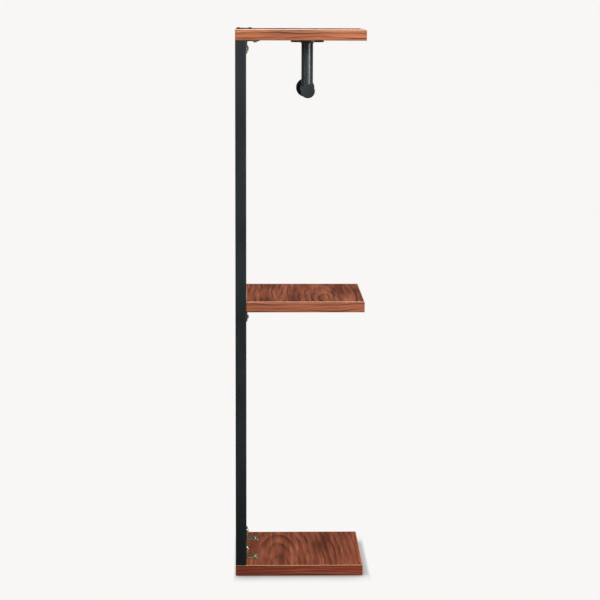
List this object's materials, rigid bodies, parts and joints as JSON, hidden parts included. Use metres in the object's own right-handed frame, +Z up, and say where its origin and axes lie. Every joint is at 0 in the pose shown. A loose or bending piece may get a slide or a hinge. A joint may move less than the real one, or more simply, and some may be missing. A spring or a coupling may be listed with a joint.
{
  "type": "hall tree",
  "caption": "Narrow free-standing hall tree: wood-look boards on a black square-tube back frame, with a T-shaped hanging rail under the top board.",
  "frame": {"origin": "centre of the bounding box's underside, on the floor", "axes": "+Z up, +Y towards the wall (the frame's side), -Y the open front, +X to the right of a person who faces the front"},
  "size_m": [0.3, 0.3, 1.2824],
  "materials": {
    "walnut_board": "walnut-pattern laminate, satin",
    "walnut_edging": "walnut-pattern edging, satin",
    "black_frame": "black powder coat, fine matt texture",
    "black_rail": "black powder coat, satin",
    "zinc_brace": "yellow zinc plate",
    "bright_screw": "bright zinc plate",
    "bronzed_tie": "dark bronze plate"
  },
  "bodies": {
    "root": {"top_board": "walnut_board", "middle_board": "walnut_board", "bottom_board": "walnut_board", "top_board_edging": "walnut_edging", "middle_board_edging": "walnut_edging", "bottom_board_edging": "walnut_edging", "upright_left": "black_frame", "upright_right": "black_frame", "top_cross_rail": "black_frame", "middle_cross_rail": "black_frame", "bottom_cross_rail": "black_frame", "frame_welds": "black_frame", "top_brace_left": "zinc_brace", "top_brace_right": "zinc_brace", "middle_brace_left": "zinc_brace", "middle_brace_right": "zinc_brace", "bottom_brace_left": "zinc_brace", "bottom_brace_right": "zinc_brace", "top_brace_screws": "bright_screw", "middle_brace_screws": "bright_screw", "bottom_brace_screws": "bright_screw", "rail_plate": "black_rail", "rail_plate_screws": "black_rail", "drop_tube": "black_rail", "hanging_rail": "black_rail", "rail_end_cap": "black_rail", "rail_stop_knob": "black_rail", "wall_tie_left": "bronzed_tie", "wall_tie_right": "bronzed_tie", "wall_tie_screws": "bronzed_tie"}
  },
  "joints": []
}
